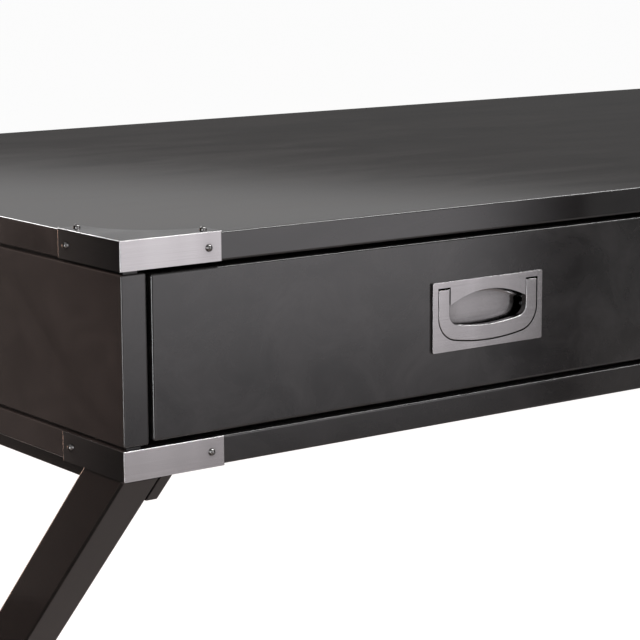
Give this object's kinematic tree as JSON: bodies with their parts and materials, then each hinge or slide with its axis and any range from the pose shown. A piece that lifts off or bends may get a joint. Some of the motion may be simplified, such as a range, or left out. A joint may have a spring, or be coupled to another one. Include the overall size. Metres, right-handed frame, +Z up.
{
  "type": "computer desk with keyboard tray",
  "caption": "Black campaign-style desk on crossed legs, its shallow case holding a sliding keyboard tray behind a drop front with flush pulls.",
  "frame": {"origin": "on the floor under the middle of the desk", "axes": "+X to the desk's right, -Y to the user, where the tray opens, +Z up"},
  "size_m": [1.174, 0.634, 0.759],
  "materials": {
    "black_lacquer": "satin black lacquer on hardwood",
    "tray_wood": "satin dark stained wood",
    "dowel_wood": "plain beech",
    "brushed_nickel": "brushed nickel",
    "polished_nickel": "polished nickel",
    "zinc_steel": "zinc-plated steel",
    "catch_plastic": "moulded black plastic",
    "glide_nylon": "dark nylon"
  },
  "bodies": {
    "case": {"desk_top": "black_lacquer", "case_bottom": "black_lacquer", "back_panel": "black_lacquer", "case_dowels": "dowel_wood", "bracket_screws": "polished_nickel", "cross_bolts": "brushed_nickel", "cross_nuts": "zinc_steel", "rail_screws": "zinc_steel", "leg_screws": "zinc_steel", "foot_glides": "glide_nylon", "slide_screws_cabinet": "zinc_steel", "side_panel_left": "black_lacquer", "side_panel_right": "black_lacquer", "leg_rail_left": "black_lacquer", "leg_rail_right": "black_lacquer", "leg_to_back_foot_left": "black_lacquer", "leg_to_back_foot_right": "black_lacquer", "leg_to_front_foot_left": "black_lacquer", "leg_to_front_foot_right": "black_lacquer", "slide_cabinet_left": "zinc_steel", "slide_cabinet_right": "zinc_steel", "top_bracket_front_left": "brushed_nickel", "top_bracket_front_right": "brushed_nickel", "top_bracket_back_left": "brushed_nickel", "top_bracket_back_right": "brushed_nickel", "bottom_bracket_front_left": "brushed_nickel", "bottom_bracket_front_right": "brushed_nickel", "bottom_bracket_back_left": "brushed_nickel", "bottom_bracket_back_right": "brushed_nickel"},
    "tray": {"tray_board": "tray_wood", "tray_back": "tray_wood", "tray_screws": "zinc_steel", "hinge_screws": "zinc_steel", "slide_screws_drawer": "zinc_steel", "tray_side_left": "tray_wood", "tray_side_right": "tray_wood", "front_hinge_left": "zinc_steel", "front_hinge_right": "zinc_steel", "magnet_catch_left": "catch_plastic", "magnet_catch_right": "catch_plastic", "slide_drawer_left": "zinc_steel", "slide_drawer_right": "zinc_steel"},
    "slide_left": {"slide_middle_left": "zinc_steel", "slide_balls_left": "polished_nickel"},
    "slide_right": {"slide_middle_right": "zinc_steel", "slide_balls_right": "polished_nickel"},
    "drop_front": {"drawer_front": "black_lacquer", "pull_screws": "zinc_steel", "strike_plate_left": "polished_nickel", "strike_plate_right": "polished_nickel", "pivot_pin_left": "polished_nickel", "pivot_pin_right": "polished_nickel", "pull_plate_left": "brushed_nickel", "pull_plate_right": "brushed_nickel", "bail_pins_left": "polished_nickel", "bail_pins_right": "polished_nickel"},
    "bail_left": {"bail_left": "brushed_nickel"},
    "bail_right": {"bail_right": "brushed_nickel"}
  },
  "joints": [
    {"name": "tray_slide", "type": "slide", "parent": "case", "child": "tray", "axis": [0, -1, 0], "range_m": [0, 0.3]},
    {"name": "slide_left_travel", "type": "slide", "parent": "case", "child": "slide_left", "axis": [0, -1, 0], "range_m": [0, 0.15]},
    {"name": "slide_right_travel", "type": "slide", "parent": "case", "child": "slide_right", "axis": [0, -1, 0], "range_m": [0, 0.15]},
    {"name": "front_drop", "type": "hinge", "parent": "tray", "child": "drop_front", "pos_m": [0, -0.305, 0.6465], "axis": [1, 0, 0], "range_deg": [0, 90]},
    {"name": "bail_left_lift", "type": "hinge", "parent": "drop_front", "child": "bail_left", "pos_m": [-0.2995, -0.31355, 0.6989], "axis": [-1, 0, 0], "range_deg": [0, 90]},
    {"name": "bail_right_lift", "type": "hinge", "parent": "drop_front", "child": "bail_right", "pos_m": [0.2995, -0.31355, 0.6989], "axis": [-1, 0, 0], "range_deg": [0, 90]}
  ],
  "couplings": [
    {"joint": "slide_left_travel", "follows": "tray_slide", "ratio": 0.5},
    {"joint": "slide_right_travel", "follows": "tray_slide", "ratio": 0.5}
  ]
}
